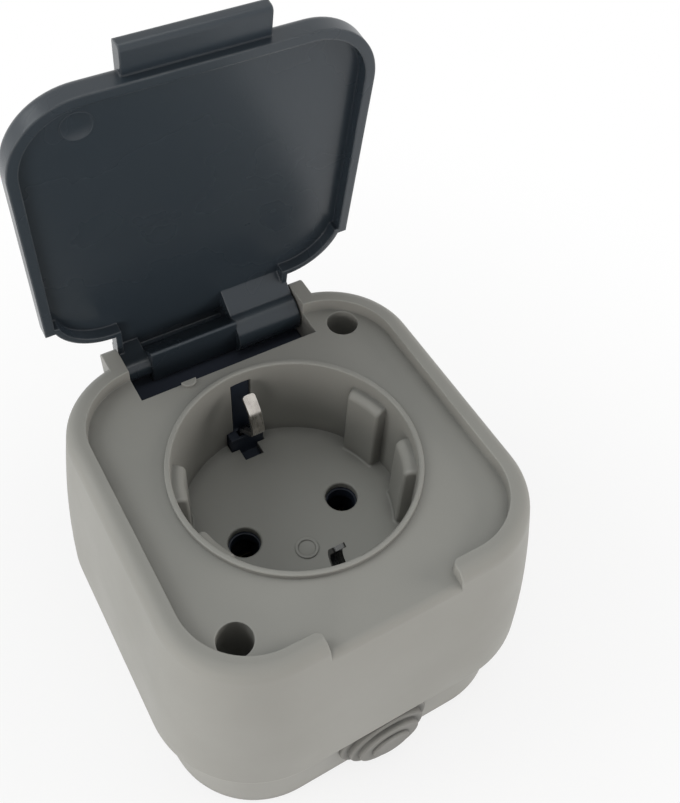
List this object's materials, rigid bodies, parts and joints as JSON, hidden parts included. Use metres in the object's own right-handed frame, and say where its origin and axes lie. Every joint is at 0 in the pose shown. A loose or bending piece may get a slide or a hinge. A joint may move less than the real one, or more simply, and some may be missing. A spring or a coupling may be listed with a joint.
{
  "type": "outdoor weatherproof socket",
  "caption": "Surface-mounted outdoor socket outlet with a side-earth plug well, hinged rain lid, grey cover and base box with a stepped cable grommet.",
  "frame": {"origin": "centre of the wall face, where the base box lies on the wall", "axes": "+Z out of the wall towards the plug, -Y towards the cable entry, +Y towards the lid hinge"},
  "size_m": [0.069, 0.0733, 0.1096],
  "materials": {
    "grey_plastic": "fine matt moulded thermoplastic, warm grey",
    "dark_plastic": "satin moulded thermoplastic, blue-black grey",
    "steel": "plated steel",
    "grommet_rubber": "soft grey elastomer",
    "seal_rubber": "black sealing rubber",
    "insulator": "black moulded insulator",
    "brass": "stamped brass",
    "spring_steel": "nickel-plated spring strip"
  },
  "bodies": {
    "housing": {"base_box": "grey_plastic", "cover": "grey_plastic", "hinge_pin": "dark_plastic", "hinge_seal": "seal_rubber", "cable_grommet": "grommet_rubber", "cover_gasket": "seal_rubber", "contact_carrier": "insulator", "carrier_cap": "insulator", "live_contact": "brass", "neutral_contact": "brass", "earth_bracket": "spring_steel", "live_terminal": "brass", "neutral_terminal": "brass", "earth_terminal": "brass", "terminal_screws": "steel", "clamp_plates": "steel", "carrier_screws": "steel", "cover_screws": "steel", "screw_seals": "seal_rubber", "screw_inserts": "brass"},
    "lid": {"lid": "dark_plastic"}
  },
  "joints": [
    {"name": "lid_hinge", "type": "hinge", "parent": "housing", "child": "lid", "pos_m": [0, 0.0312, 0.047], "axis": [1, 0, 0], "range_deg": [0, 82]}
  ]
}
